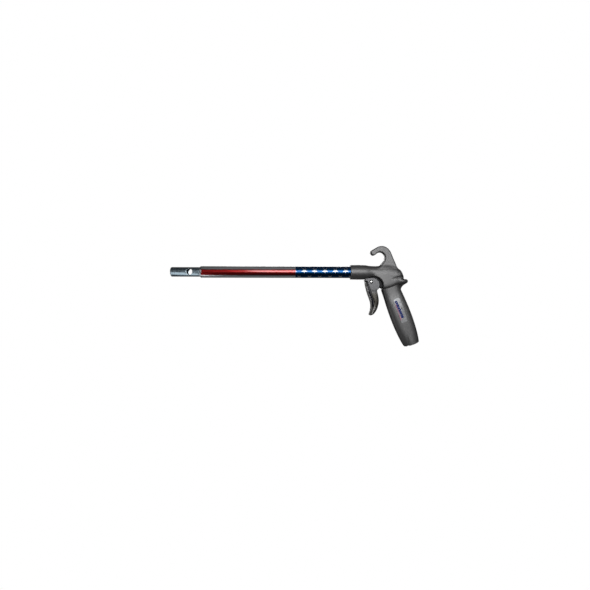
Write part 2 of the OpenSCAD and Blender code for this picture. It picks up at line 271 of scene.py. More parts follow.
# the recess's straight part, and the web that carries the pin
RECESS = np.array([[23.6, -36], [23.6, -11.9], [25.4, -10.9], [30, -9.3], [36, -8.1],
                   [38.6, -7.9], [38.6, -36]])
WEB = np.array([[24.4, -5], [24.4, -16], [25.2, -17.1], [27.6, -17.1], [28.8, -17.8], [30, -19.6],
                [33, -21.6], [36, -21.5], [38.8, -19.2], [43.9, -17], [47.6, -25.2], [52.6, -27],
                [58, -27], [58, -5]])


def groove(f, u, v, a, b, deep, wide, fade):
    """The surface drawn in along the line a to b, less and less towards a."""
    d, t = segment(u, v, a, b)
    return f + deep * np.exp(-(d / wide) ** 2) * np.clip(t / fade, 0, 1)


def casting(x, y, z):
    """The whole body before its bores are drilled."""
    f = smin(neck(x, y, z), middle(x, y, z), 0.8)
    f = smin(f, grip(x, y, z), 0.5)
    round_room = np.hypot(x - RECESS_AT[0], z - RECESS_AT[1]) - RECESS_R
    f = smax(f, -np.minimum(round_room, polygon(x, z, RECESS)), 1.8)
    f = smin(f, plate(polygon(x, z, WEB), y, 5.6, 0.5), 0.8)
    f = smin(f, hook(x, y, z), 3.5)
    f = smin(f, thumb_rest(x, y, z), 2)
    f = smin(f, boss(x, y, z), 2)
    # the crease under the valve's dome, and the flute at the foot of the grip
    f = groove(f, x, z, (67, -12), (90, -5.6), 1.3, 1.7, 0.5)
    g, s = grip_frame(x, z)
    f = np.where(y < 0, groove(f, g, s, (-3.2, 19), (-8.6, -1), 0.8, 1.3, 0.6), f)
    # nothing stands behind the valve cap's seat
    q, r = along_valve(x, y, z)
    return smax(f, np.minimum(np.minimum(q - CAP_SEAT, 10 - r), z + 11.2), 0.2)


# the trigger's channel: height, front, rear and half width
LEVER = np.array([[-72.4, 32.4, 35.8, 3.9], [-70.6, 31.5, 38.3, 5.6], [-67, 32.3, 41.5, 6.1],
                  [-62, 33.6, 44.3, 6.4], [-56.2, 34.2, 46.2, 6.7], [-50.5, 33.6, 47.2, 7],
                  [-44.4, 31.7, 47, 7.3], [-37.7, 29.2, 45.7, 7.55], [-30, 26.9, 43.9, 7.75],
                  [-24, 25.4, 43.7, 7.75], [-17.6, 24.2, 43.6, 7.7]]).T
# the cheek: its front with the ear, and the fan that trims its round
EAR = np.array([[24.6, -12.2], [26.2, -11.1], [29.4, -10.1], [33, -9.6], [36.4, -9.4],
                [37.6, -22.3], [36.5, -33], [35.2, -36.5], [33.4, -31], [30.8, -23.5],
                [28.8, -18.4], [28.1, -16.2], [27.2, -15.1], [24.8, -14.7]])
FAN = np.array([[33.1, -5], [60, -5], [60, -25], [50.2, -27], [44.4, -29.4], [42.6, -33.5],
                [39.4, -37.5], [36, -37], [33, -30]])
# the room between the cheeks, above the blade's hollow
CHEEK_GAP = np.array([[20, -2], [60, -2], [60, -32], [36, -32], [32.4, -24], [29.3, -20.5],
                      [28.2, -17.7], [20, -17.7]])
# the crease behind the blade's rolled front
CREASE = smooth_line([[27.6, -18.4], [29.5, -26], [31.2, -31.5], [32.7, -37], [34.7, -42],
                      [36.6, -47], [37.3, -52], [37.4, -59]])
# the pad that pushes the stem
PAD = np.array([[27.4, -25.4], [33.4, -22.7], [FOOT[0] - 1.06, FOOT[2] + 2.38],
                [FOOT[0] + 1.38, FOOT[2] - 3.11], [FOOT[0] - 1, FOOT[2] - 6.6], [29.4, -34]])


def channel(x, y, z, inset, open_rear):
    """The blade's outer shape, or with an inset its hollow, which runs out behind."""
    front, rear, half = (spline(z, LEVER[0], LEVER[k]) for k in range(1, 4))
    tuck = np.clip((x - rear + 5) / 5, 0, 1) ** 2 * np.clip((-30 - z) / 12, 0, 1)
    half = half - inset - 0.9 * tuck
    deep = np.minimum(7.4, (rear - front) * 0.55) - inset
    u = np.maximum(front + inset + deep - x, 0)
    side = oval(u, y, deep, half, 1.85)
    return smax(side, x - rear - open_rear, 0.9)


def lever(x, y, z):
    """The trigger: a channel with two cheeks, a crease in its front and a pad inside."""
    solid = smax(channel(x, y, z, 0, 0), z - BLADE_TOP, 0.6)
    solid = smax(solid, BLADE_FOOT - z, 2.0)
    fan = np.maximum(np.hypot(x - FAN_AT[0], z - FAN_AT[1]) - FAN_R, polygon(x, z, FAN))
    level = spline(z, [-35.5, -30.5, -25], [CHEEK - 1.6, CHEEK - 0.25, CHEEK])
    cheeks = plate(np.minimum(fan, polygon(x, z, EAR)), y, level, 0.7)
    solid = smin(solid, cheeks, 0.5)
    off = np.min([segment(x, z, a, b)[0] for a, b in zip(CREASE, CREASE[1:])], axis=0)
    fade = np.clip((z + 62) / 16, 0, 1) * np.clip((-19.6 - z) / 4, 0, 1)
    fade = fade * np.clip(np.abs(y) - 2, 0, 1)
    solid = solid + 1.3 * np.exp(-(off / 1.4) ** 2) * fade
    hollow = smax(channel(x, y, z, WALL, 12), -64 - z, 3)
    between_cheeks = np.maximum(np.abs(y) - CHEEK + WALL, polygon(x, z, CHEEK_GAP))
    solid = smax(solid, -np.minimum(hollow, between_cheeks), 0.7)
    solid = smin(solid, plate(polygon(x, z, PAD), y, 2.7, 0.4), 0.6)
    # the pin's hole, with a bevelled rim on each cheek
    hole = 2.08 + np.clip(np.abs(y) - CHEEK + 0.7, 0, 0.7)
    return smax(solid, hole - np.hypot(x - PIN[0], z - PIN[2]), 0.3)


def nozzle(x, y, z):
    """A tube with a rounded tip, a neck inside the ring and a vent hole across it."""
    r, round_edge = np.hypot(y, z), 1.1
    p, q = r - NOZZLE_R + round_edge, TIP - x + round_edge
    f = np.hypot(np.maximum(p, 0), np.maximum(q, 0)) + np.minimum(np.maximum(p, q), 0) - round_edge
    # the neck, from just before the ring to where it ends inside the sleeve
    f = smax(f, np.minimum(x - RING + 0.25, r - 7.3), 0.15)
    f = smax(f, x - RING - 14, 0.3)
    # the bore, bevelled at the mouth and wider where the jet sits
    f = smax(f, 5.8 + 0.5 * np.clip((TIP + 0.9 - x) / 0.9, 0, 1) - r, 0.3)
    f = smax(f, -np.maximum(r - 6.38, JET - x), 0.2)
    return smax(f, 5.2 - np.hypot(x - TIP - 32, z), 0.35)


# ---- meshing ----

def slope_of(field, p, h=0.02):
    """The field's slope at each point, from samples h to either side."""
    return np.stack([(field(*(p + h * e).T) - field(*(p - h * e).T)) / (2 * h)
                     for e in np.eye(3)], 1)


def sampled(field, axes, cell):
    """The field on a grid, worked out in full only near its surface."""
    step = 4
    coarse = [a[::step] if (len(a) - 1) % step == 0 else np.append(a[::step], a[-1]) for a in axes]
    shape = [len(a) for a in coarse]
    rough = field(*(g.ravel() for g in np.meshgrid(*coarse, indexing="ij"))).reshape(shape)
    pick = np.ix_(*[np.minimum((np.arange(len(a)) + step // 2) // step, n - 1)
                    for a, n in zip(axes, shape)])
    values = rough[pick]
    near = np.abs(values) < 1.5 * step * cell + 1.5
    i, j, k = np.nonzero(near)
    values[i, j, k] = field(axes[0][i], axes[1][j], axes[2][k])
    return values


def surface(field, low, high, cell):
    """Surface nets: one vertex in each cell that the surface crosses, moved onto the surface."""
    low, high = np.array(low, float), np.array(high, float)
    axes = [np.arange(a, b + cell, cell) for a, b in zip(low, high)]
    f = sampled(field, axes, cell)
    inside = f < 0
    n = np.array(f.shape)
    corners = np.array([(a, b, c) for a in (0, 1) for b in (0, 1) for c in (0, 1)])
    count = sum(inside[a:n[0] - 1 + a, b:n[1] - 1 + b, c:n[2] - 1 + c].astype(np.int8)
                for a, b, c in corners)
    mixed = (count > 0) & (count < 8)
    number = np.full(mixed.shape, -1)
    number[mixed] = np.arange(mixed.sum())
    cells = np.argwhere(mixed)
    total, hits = np.zeros((len(cells), 3)), np.zeros(len(cells))
    for a in corners:
        for b in corners:
            if (b - a).min() < 0 or (b - a).sum() != 1:
                continue
            fa, fb = f[tuple((cells + a).T)], f[tuple((cells + b).T)]
            crossed = (fa < 0) != (fb < 0)
            t = fa / np.where(crossed, fa - fb, 1)
            total += crossed[:, None] * (a + (b - a) * t[:, None])
            hits += crossed
    points = low + cell * (cells + total / hits[:, None])
    quads = []
    for axis in range(3):
        u, v = (axis + 1) % 3, (axis + 2) % 3
        lower = np.take(inside, range(n[axis] - 1), axis)
        upper = np.take(inside, range(1, n[axis]), axis)
        for change, turn in ((lower & ~upper, False), (upper & ~lower, True)):
            at = np.argwhere(change)
            at = at[(at[:, u] > 0) & (at[:, v] > 0) & (at[:, u] < n[u] - 1) & (at[:, v] < n[v] - 1)]
            du, dv = np.eye(3, dtype=int)[u], np.eye(3, dtype=int)[v]
            ring = [at, at - du, at - du - dv, at - dv]
            quad = np.stack([number[tuple(r.T)] for r in ring], 1)
            quads.append(quad[:, ::-1] if turn else quad)
    quads = np.concatenate(quads)
    for k in range(5):
        if k in (1, 2):
            points = relaxed(points, quads)
        slope = slope_of(field, points)
        value = np.clip(field(*points.T), -cell / 2, cell / 2)
        points -= value[:, None] * slope / ((slope ** 2).sum(1)[:, None] + 1e-6)
    return points, quads


def relaxed(points, quads):
    """Each point moved part of the way to the middle of its neighbours."""
    a, b = quads.ravel(), np.roll(quads, -1, 1).ravel()
    ends, others = np.concatenate([a, b]), np.concatenate([b, a])
    share = np.bincount(ends, minlength=len(points))
    middle_of = np.stack([np.bincount(ends, points[others, k], len(points)) for k in range(3)], 1)
    return points + 0.6 * (middle_of / share[:, None] - points)


def new_piece(name, points, faces, body="gun", smooth_angle=40, place=None):
    """A mesh from millimetres in the barrel's frame, or in a frame that place takes there."""
    p = np.asarray(points, float).reshape(-1, 3)
    if place is not None:
        p = p @ np.array(place.to_3x3()).T + np.array(place.translation)
    mesh = bpy.data.meshes.new(name)
    mesh.from_pydata((p * MM + HOME).tolist(), [], [list(map(int, q)) for q in faces])
    mesh.validate()
    piece = bpy.data.objects.new(name, mesh)
    bpy.context.scene.collection.objects.link(piece)
    weld(mesh)
    shade(mesh, smooth_angle)
    if body:
        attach(piece, body)
    return piece


def weld(mesh):
    """Joins points that coincide and drops faces without area."""
    bm = bmesh.new()
    bm.from_mesh(mesh)
    bmesh.ops.remove_doubles(bm, verts=bm.verts, dist=1e-7)
    bmesh.ops.dissolve_degenerate(bm, edges=bm.edges, dist=1e-8)
    bm.to_mesh(mesh)
    bm.free()


def shade(mesh, angle):
    """Smooth, but sharp where faces meet at more than angle degrees."""
    mesh.polygons.foreach_set("use_smooth", [True] * len(mesh.polygons))
    mesh.set_sharp_from_angle(angle=math.radians(angle))


def grid_faces(rows, cols, closed_rows=False, closed_cols=False):
    """Quads over a grid of points, numbered row by row."""
    faces = []
    for i in range(rows if closed_rows else rows - 1):
        for j in range(cols if closed_cols else cols - 1):
            a, b = (i + 1) % rows, (j + 1) % cols
            faces.append((i * cols + j, i * cols + b, a * cols + b, a * cols + j))
    return faces


def rounded(profile, radius, steps=5):
    """A closed profile with each corner rounded, or left where its radius is 0."""
    pts = np.asarray(profile, float)
    radii = np.broadcast_to(radius, len(pts))
    out = []
    for i, r in enumerate(radii):
        p, a, b = pts[i], pts[i - 1], pts[(i + 1) % len(pts)]
        la, lb = np.linalg.norm(a - p), np.linalg.norm(b - p)
        turn = math.acos(float(np.clip((a - p) @ (b - p) / (la * lb), -1, 1)))
        reach = min(r / math.tan(turn / 2), la * 0.45, lb * 0.45) if r > 0 and turn < 3.1 else 0
        if reach < 1e-4:
            out.append(p)
            continue
        s, e = p + (a - p) / la * reach, p + (b - p) / lb * reach
        out += [(1 - t) ** 2 * s + 2 * t * (1 - t) * p + t * t * e for t in np.linspace(0, 1, steps)]
    return np.array(out)


def lathe(name, profile, place, segments=96, **kind):
    """A closed profile of (along, radius) pairs turned about place's Z axis."""
    prof = np.asarray(profile, float)
    turn = 2 * math.pi * np.arange(segments) / segments
    pts = np.stack([np.outer(np.cos(turn), prof[:, 1]), np.outer(np.sin(turn), prof[:, 1]),
                    np.broadcast_to(prof[:, 0], (segments, len(prof)))], 2)
    faces = grid_faces(segments, len(prof), True, True)
    piece = new_piece(name, pts, faces, place=place, **kind)
    face_outwards(piece.data)
    return piece


def face_outwards(mesh):
    bm = bmesh.new()
    bm.from_mesh(mesh)
    bmesh.ops.recalc_face_normals(bm, faces=bm.faces)
    bm.to_mesh(mesh)
    bm.free()


def frame_at(point, direction):
    """Z runs along direction from point, in the barrel's frame."""
    turn = Vector(direction).to_track_quat("Z", "Y").to_matrix().to_4x4()
    return Matrix.Translation(Vector(point)) @ turn


def cut(piece, cutters):
    """Takes the cutters out of the piece."""
    for c in cutters:
        step = piece.modifiers.new("cut", "BOOLEAN")
        step.operation, step.solver, step.object = "DIFFERENCE", "MANIFOLD", c
    bpy.context.view_layer.update()
    mesh = bpy.data.meshes.new_from_object(piece.evaluated_get(
        bpy.context.evaluated_depsgraph_get()))
    piece.modifiers.clear()
    piece.data = mesh
    for c in cutters:
        bpy.data.objects.remove(c)


def drill(point, direction, start, end, radius, segments=64):
    """A plain round cutter."""
    profile = [(start, 0), (end, 0), (end, radius), (start, radius)]
    return lathe("cutter", profile, frame_at(point, direction), segments, body=None)


def tap(point, direction, start, end, radius, deep, pitch):
    """A cutter with a sharp helical thread on it."""
    cols, per_turn = 72, 10
    along = np.arange(start, end, pitch / per_turn)
    turn = 2 * math.pi * np.arange(cols) / cols
    phase = (along[:, None] / pitch - turn[None, :] / (2 * math.pi)) % 1
    ease = np.clip((end - 1.5 - along[:, None]) / 2.0, 0, 1)
    r = radius + deep * ease * (1 - np.abs(2 * phase - 1))
    pts = np.stack([r * np.cos(turn), r * np.sin(turn),
                    np.broadcast_to(along[:, None], r.shape)], 2).reshape(-1, 3)
    faces = grid_faces(len(along), cols, False, True)
    faces += [tuple(range(cols))[::-1], tuple((len(along) - 1) * cols + k for k in range(cols))]
    piece = new_piece("cutter", pts, faces, None, place=frame_at(point, direction))
    face_outwards(piece.data)
    return piece


def implicit(name, field, low, high, cell, body):
    """The piece inside a field, meshed within a box."""
    points, quads = surface(field, low, high, cell)
    return new_piece(name, points, quads, body, CAST_ANGLE)


def true_normals(piece, field):
    """Shades the piece by the field's own slope."""
    mesh = piece.data
    points = np.empty(len(mesh.vertices) * 3)
    mesh.vertices.foreach_get("co", points)
    slope = slope_of(field, (points.reshape(-1, 3) - HOME) / MM, 0.06)
    slope /= np.linalg.norm(slope, axis=1)[:, None] + 1e-9
    shade(mesh, 180)
    mesh.normals_split_custom_set_from_vertices(slope.tolist())


# ---- materials ----

# a noise's values lie mostly between these
LOW = 0.3
HIGH = 0.7


class Shader:
    """One procedural material: a Principled shader with its texture in the piece's own frame."""

    def __init__(self, name, metallic=0.0, roughness=0.5, **values):
        self.material = bpy.data.materials.new(name)
        self.material.use_nodes = True
        self.tree = self.material.node_tree
        self.nodes, self.links = self.tree.nodes, self.tree.links
        self.bsdf = self.nodes["Principled BSDF"]
        self.bsdf.inputs["Metallic"].default_value = metallic
        self.bsdf.inputs["Roughness"].default_value = roughness
        for key, value in values.items():
            self.bsdf.inputs[key.replace("_", " ")].default_value = value
        self.coords = self.nodes.new("ShaderNodeTexCoord").outputs["Object"]

    def axes(self):
        """The X, Y and Z of a point of the piece, in metres."""
        node = self.nodes.new("ShaderNodeSeparateXYZ")
        self.links.new(self.coords, node.inputs[0])
        return node.outputs["X"], node.outputs["Y"], node.outputs["Z"]

    def stretched(self, x, y, z):
        """The coordinates scaled along each axis."""
        node = self.nodes.new("ShaderNodeMapping")
        node.inputs["Scale"].default_value = (x, y, z)
        self.links.new(self.coords, node.inputs["Vector"])
        return node.outputs["Vector"]

    def noise(self, size_mm, detail=3, rough=0.55, coords=None):
        """Noise from 0 to 1 whose features are about size_mm across."""
        node = self.nodes.new("ShaderNodeTexNoise")
        node.inputs["Scale"].default_value = 1 / (size_mm * MM)
        node.inputs["Detail"].default_value = detail
        node.inputs["Roughness"].default_value = rough
        self.links.new(coords or self.coords, node.inputs["Vector"])
        return node.outputs["Fac"]

    def ramp(self, value, stops):
        """Colours at places from 0 to 1, and what lies between them."""
        node = self.nodes.new("ShaderNodeValToRGB")
        ends = node.color_ramp.elements
        while len(ends) < len(stops):
            ends.new(0.5)
        for stop, (place, colour) in zip(ends, stops):
            stop.position = place
            stop.color = (*colour, 1)
        self.links.new(value, node.inputs["Fac"])
        return node.outputs["Color"]

    def tones(self, value, dark, light):
        """From dark to light over the middle of a noise's range."""
        return self.ramp(value, [(LOW, dark), (HIGH, light)])

    def mix(self, share, a, b):
        """Colour a where share is 0, and b where it is 1."""
        node = self.nodes.new("ShaderNodeMix")
        node.data_type = "RGBA"
        self.feed(node.inputs["Factor"], share)
        self.feed(node.inputs[6], a)
        self.feed(node.inputs[7], b)
        return node.outputs[2]

    def math(self, kind, a, b=0.0):
        """Sums with sockets or plain numbers."""
        node = self.nodes.new("ShaderNodeMath")
        node.operation = kind
        self.feed(node.inputs[0], a)
        self.feed(node.inputs[1], b)
        return node.outputs[0]

    def feed(self, socket, value):
        """Links a socket, or sets a plain value."""
        if isinstance(value, bpy.types.NodeSocket):
            self.links.new(value, socket)
        else:
            socket.default_value = value

    def spread(self, value, low, high):
        """The middle of a noise's range taken to low and high."""
        node = self.nodes.new("ShaderNodeMapRange")
        node.inputs["To Min"].default_value = low
        node.inputs["To Max"].default_value = high
        node.inputs["From Min"].default_value = LOW
        node.inputs["From Max"].default_value = HIGH
        self.links.new(value, node.inputs["Value"])
        return node.outputs["Result"]

    def between(self, value, low, high):
        """0 below low, 1 above high, eased in between."""
        node = self.nodes.new("ShaderNodeMapRange")
        node.interpolation_type = "SMOOTHSTEP"
        node.inputs["From Min"].default_value = low
        node.inputs["From Max"].default_value = high
        self.links.new(value, node.inputs["Value"])
        return node.outputs["Result"]

    def bump(self, height, strength, depth_mm, below=None):
        """A normal drawn from height, on top of another bump if there is one."""
        node = self.nodes.new("ShaderNodeBump")
        node.inputs["Strength"].default_value = strength
        node.inputs["Distance"].default_value = depth_mm * MM
        self.links.new(height, node.inputs["Height"])
        if below is not None:
            self.links.new(below, node.inputs["Normal"])
        return node.outputs["Normal"]

    def edges(self):
        """1 on sharp outer edges, 0 elsewhere."""
        sharp = self.nodes.new("ShaderNodeNewGeometry").outputs["Pointiness"]
        return self.ramp(sharp, [(0.51, (0, 0, 0)), (0.6, (1, 1, 1))])

    def set(self, name, value):
        """Feeds one of the shader's inputs."""
        self.links.new(value, self.bsdf.inputs[name])
        return self


def powder_coat(name):
    """Textured dark grey coating, paler on worn edges, with near-black shade painted in the trigger's
    recess.
    """
    s = Shader(name, metallic=0.8)
    grain = s.noise(1.1, 3, 0.6)
    coat = s.tones(s.noise(5.0, 4), (0.115, 0.115, 0.118), (0.15, 0.15, 0.152))
    colour = s.mix(s.spread(grain, 0.2, 0.8), coat, (0.19, 0.19, 0.19, 1))
    worn = s.math("MULTIPLY", s.edges(), s.spread(s.noise(3.0), 0.05, 0.5))
    colour = s.mix(worn, colour, (0.34, 0.34, 0.34, 1))
    # painted shade: near black laid inside the trigger's recess, where the casting lies in shadow
    s.set("Base Color", s.mix(outside_painted_recess_shade(s), (0.016, 0.016, 0.017, 1), colour))
    s.set("Roughness", s.spread(grain, 0.48, 0.56))
    fine = s.bump(s.noise(0.35, 2), 0.35, 0.05)
    return s.set("Normal", s.bump(s.noise(1.1, 2), 0.2, 0.08, fine)).material


def outside_painted_recess_shade(s):
    """0 inside the recess that the trigger swings in, where near-black shade is painted, and 1
    outside.
    """
    centre = HOME + np.array([RECESS_AT[0], 0, RECESS_AT[1]]) * MM
    far = s.nodes.new("ShaderNodeVectorMath")
    far.operation = "DISTANCE"
    far.inputs[1].default_value = (centre[0], 0, centre[2])
    s.links.new(s.stretched(1, 0, 1), far.inputs[0])
    round_edge = s.between(far.outputs["Value"], (RECESS_R + 0.1) * MM, (RECESS_R + 0.9) * MM)
    across = s.math("ABSOLUTE", s.axes()[1])
    return s.math("MAXIMUM", s.between(across, 7 * MM, 9.5 * MM), round_edge)


def plated_lever(name):
    """Satin, textured cheeks, a polished front, sides below the cheeks painted darker as shade, and
    painted shade along the crease.
    """
    s = Shader(name, metallic=0.92)
    x, _, z = s.axes()
    # past this line the metal belongs to the cheek and, further down, to the blade's side
    lean = 0.358
    past = s.math("SUBTRACT", s.math("ADD", x, s.math("MULTIPLY", z, lean)),
                  float(HOME[0] + lean * HOME[2]) + 20.4 * MM)
    ear = s.between(z, float(HOME[2]) - 17 * MM, float(HOME[2]) - 16 * MM)
    behind = s.math("MAXIMUM", ear, s.between(past, -0.5 * MM, 0.5 * MM))
    above = s.between(z, float(HOME[2]) - 40 * MM, float(HOME[2]) - 28 * MM)
    cheek = s.math("MULTIPLY", behind, above)
    grain = s.noise(0.9, 3, 0.6)
    satin = s.tones(grain, (0.105, 0.105, 0.11), (0.15, 0.15, 0.155))
    polish = s.tones(s.noise(12.0, 2), (0.195, 0.192, 0.184), (0.24, 0.238, 0.23))
    # painted shade: the blade's side is the polished front's metal in a darker colour, for the shade
    # it lies in
    side = s.tones(s.noise(9.0), (0.074, 0.069, 0.059), (0.105, 0.1, 0.088))
    blade = s.mix(s.between(past, -0.5 * MM, 1.5 * MM), polish, side)
    # painted shade: near black laid along the blade's crease
    blade = s.mix(in_painted_crease_shade(s, x, z), blade, (0.014, 0.014, 0.022, 1))
    s.set("Base Color", s.mix(cheek, blade, satin))
    s.set("Roughness", s.mix(cheek, s.spread(s.noise(6.0), 0.29, 0.34),
                             s.spread(grain, 0.42, 0.55)))
    rough = s.math("ADD", s.math("MULTIPLY", cheek, 0.95), 0.05)
    height = s.math("MULTIPLY", s.noise(0.6, 2), rough)
    return s.set("Normal", s.bump(height, 0.3, 0.1)).material


def in_painted_crease_shade(s, x, z):
    """1 along the blade's crease, where near-black shade is painted, from how far x is from the
    crease at its own height.
    """
    (left, high), (right, low) = CREASE[0] - (0.6, -0.4), CREASE[-1] + (0.6, -1)
    wide, tall = right - left, high - low
    rise = s.math("DIVIDE", s.math("SUBTRACT", z, float(HOME[2]) + low * MM), tall * MM)
    stops = sorted(((v - low) / tall, (u - left) / wide) for u, v in CREASE)
    path = s.ramp(rise, [(at, (share,) * 3) for at, share in stops])
    here = s.math("DIVIDE", s.math("SUBTRACT", x, float(HOME[0]) + left * MM), wide * MM)
    away = s.math("ABSOLUTE", s.math("SUBTRACT", here, path))
    return s.math("MULTIPLY", s.between(away, 0.17, 0.06), s.between(rise, 0.0, 0.1))


def metal(name, dark, light, roughness, grain_mm=1.0, turned=False, metallic=1.0, strength=0.15):
    """Plain metal with a faint grain, drawn out round the barrel where it was turned."""
    s = Shader(name, metallic=metallic)
    coords = s.stretched(1, 0.02, 0.02) if turned else None
    grain = s.noise(grain_mm, 3, 0.6, coords)
    s.set("Base Color", s.tones(s.noise(4.0), dark, light))
    s.set("Roughness", s.spread(grain, roughness - 0.05, roughness + 0.07))
    return s.set("Normal", s.bump(grain, strength, 0.05)).material


def rubber(name):
    """Black, matt and slightly uneven."""
    s = Shader(name)
    grain = s.noise(0.5)
    s.set("Base Color", s.tones(s.noise(2.0), (0.012, 0.012, 0.012), (0.03, 0.03, 0.03)))
    s.set("Roughness", s.spread(grain, 0.5, 0.7))
    return s.set("Normal", s.bump(grain, 0.2, 0.04)).material


def film(name, dark, light, metallic, roughness, coat):
    """Printed metallic film under a clear lacquer."""
    s = Shader(name, metallic=metallic, Coat_Weight=coat, Coat_Roughness=0.12, Coat_IOR=1.62)
    flake = s.noise(0.25, 2, 0.7)
    streak = s.noise(0.8, 3, 0.5, s.stretched(0.05, 1, 1))
    s.set("Base Color", s.tones(streak, dark, light))
    s.set("Roughness", s.spread(flake, roughness - 0.04, roughness + 0.06))
    return s.set("Normal", s.bump(s.noise(2.5, 2), 0.08, 0.05)).material


def ink(name, colour):
    """Matt print, a little uneven."""
    s = Shader(name, roughness=0.45, Specular_IOR_Level=0.2)
    deep = tuple(c * 0.8 for c in colour)
    s.set("Base Color", s.tones(s.noise(1.5), deep, colour))
    return s.set("Normal", s.bump(s.noise(0.4), 0.1, 0.02)).material


def dress(piece, *materials):
    """Gives the piece these materials in place of any it had."""
    piece.data.materials.clear()
    for m in materials:
        piece.data.materials.append(m)
    return piece


def stand_for(piece, node, slot, *materials):
    """The piece is shown in place of a CAD node, which is hidden, in the given materials."""
    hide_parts(node)
    return dress(piece, *materials)


# ---- pieces ----

ALONG_X = (1, 0, 0)


def make_casting():
    """The body, drilled for the barrel, the pin, the valve and the air's way between them."""
    piece = implicit("body_cast", casting, (-2, -14, -126), (120, 14, 47), 0.6, "gun")
    passage = 3.9
    bend = INLET + 82 * UP_GRIP
    upper_tilt = TILT - math.radians(3.6)
    cutters = [
        # the barrel: the sleeve's socket, a step, the pipe's seat and the air's way in
        drill((0, 0, 0), ALONG_X, -3, 18.5, 9.585, 96),
        drill((0, 0, 0), ALONG_X, 18.4, 20.6, 8.12),
        drill((0, 0, 0), ALONG_X, 20.5, 41, 6.38),
        drill((0, 0, 0), ALONG_X, 40.9, 59, 4.7),
        # the trigger's pin
        drill(PIN, (0, 1, 0), -15, 15, 2.0, 48),
        # the valve: the stem, its gland, the outlet, the chamber, the ring's groove and the cap
        drill(FOOT, AXIS, 3.5, 24, 2.15, 48),
        drill(FOOT, AXIS, 10, 22, 4.0),
        drill(FOOT, AXIS, 20, 32, 6.0),
        drill(FOOT, AXIS, 29.5, 53.5, 7.0),
        drill(FOOT, AXIS, 50.2, 54, 8.4),
        drill(FOOT, AXIS, CAP_SEAT, 58, 9.55, 72),
        # from the barrel down to the outlet, and up the grip to the chamber
        drill((55, 0, 0), (-3.9, 0, -14.7), 0, 15, passage),
        drill(bend, (-math.sin(upper_tilt), 0, math.cos(upper_tilt)), -1, 32, passage),
        drill(INLET, UP_GRIP, 12, 83, passage),
        # the inlet's thread and its bevelled mouth
        tap(INLET, UP_GRIP, -2, 14, 5.6, 0.75, 1.41),
        drill(INLET, UP_GRIP, -2, 0.7, 6.5),
    ]
    cut(piece, cutters)
    shade(piece.data, CAST_ANGLE)
    stand_for(piece, "body_casting", "cast_body", powder_coat("powder_coat"))


def make_cap():
    """The valve's plug, with a low dome outside."""
    dome = [(52.0 + 1.8 * math.cos(a), 9.4 * math.sin(a)) for a in np.linspace(1.5, 0, 24)]
    profile = [(48.5, 0), (48.5, 4.9), (44, 4.9), (44, 6.3), (44.7, 6.95), (51.5, 6.95),
               (51.5, 9.2), (51.7, 9.4)] + dome
    piece = lathe("cap_dome", profile, frame_at(FOOT, AXIS), 96)
    stand_for(piece, "valve_cap", "cap_plug", powder_coat("cap_coat"))


def make_trigger():
    """The lever, shaded by its own field."""
    piece = implicit("trigger_lever", lever, (22, -9.4, -74), (54, 9.4, -7), 0.33, "trigger")
    true_normals(piece, lever)
    stand_for(piece, "trigger", "trigger_metal", plated_lever("plated_lever"))


def make_pin():
    """The pin, domed on the label's side and bevelled on the far side."""
    far, near, radius = CHEEK + 1, -CHEEK - 0.8, 1.98
    dome = [(near + 0.65 * (1 - math.cos(a)), radius * math.sin(a)) for a in np.linspace(0, 1.57, 16)]
    profile = dome + [(far - 0.4, radius), (far, 1.6), (far, 0)]
    piece = lathe("pin_bright", profile, frame_at((PIN[0], 0, PIN[2]), (0, 1, 0)), 64)
    stand_for(piece, "trigger_pin", "pin_steel", metal(
        "bright_pin", (0.84, 0.84, 0.84), (0.92, 0.92, 0.92), 0.16))


def make_spring():
    """The wire runs six turns up the valve's axis, its end coils closed."""
    turns, ring, sides = 6, 40, 12
    wire, coil, start, length = 0.5, 3.9, 36.6, 11.2
    t = np.linspace(0, 1, turns * ring + 1)
    rise = np.interp(t, [0, 0.15, 0.85, 1], [0, 0.0825, 0.9175, 1]) * length
    a = 2 * math.pi * turns * t
    b = 2 * math.pi * np.arange(sides) / sides
    r = coil + wire * np.cos(b)[None, :]
    pts = np.stack([r * np.cos(a)[:, None], r * np.sin(a)[:, None],
                    start + rise[:, None] + wire * np.sin(b)[None, :]], 2)
    faces = grid_faces(len(t), sides, False, True)
    faces += [tuple(range(sides)), tuple(reversed([(len(t) - 1) * sides + k for k in range(sides)]))]
    piece = new_piece("spring_wire", pts, faces, place=frame_at(FOOT, AXIS), smooth_angle=60)
    face_outwards(piece.data)
    stand_for(piece, "return_spring", "spring_steel", metal(
        "spring_wire", (0.5, 0.5, 0.52), (0.66, 0.66, 0.68), 0.3))
    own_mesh(piece)


def make_nozzle():
    """The nozzle, shaded by its own field."""
    piece = implicit("nozzle_tube", nozzle, (TIP - 1, -9, -9), (RING + 15, 9, 9), 0.3, "gun")
    true_normals(piece, nozzle)
    stand_for(piece, "nozzle", "nozzle_zinc", metal(
        "zinc_plate", (0.25, 0.32, 0.37), (0.29, 0.37, 0.42), 0.29, 0.5, True, 0.95, 0.1))


def make_ring():
    """The bare bevelled ring between the nozzle and the sleeve."""
    end = STRIPES - 0.05
    profile = rounded([(RING, 7.36), (RING, 8.3), (RING + 1.45, 9.62), (end, 9.62), (end, 8.25),
                       (RING + 11, 8.25), (RING + 11, 7.36)], [0.1, 0.3, 0.35, 0.12, 0, 0.1, 0.1])
    piece = lathe("sleeve_ring", profile, frame_at((0, 0, 0), ALONG_X), 128)
    stand_for(piece, "front_bush", "bush_metal", metal(
        "ring_metal", (0.42, 0.43, 0.46), (0.52, 0.53, 0.56), 0.25, 0.4, True))


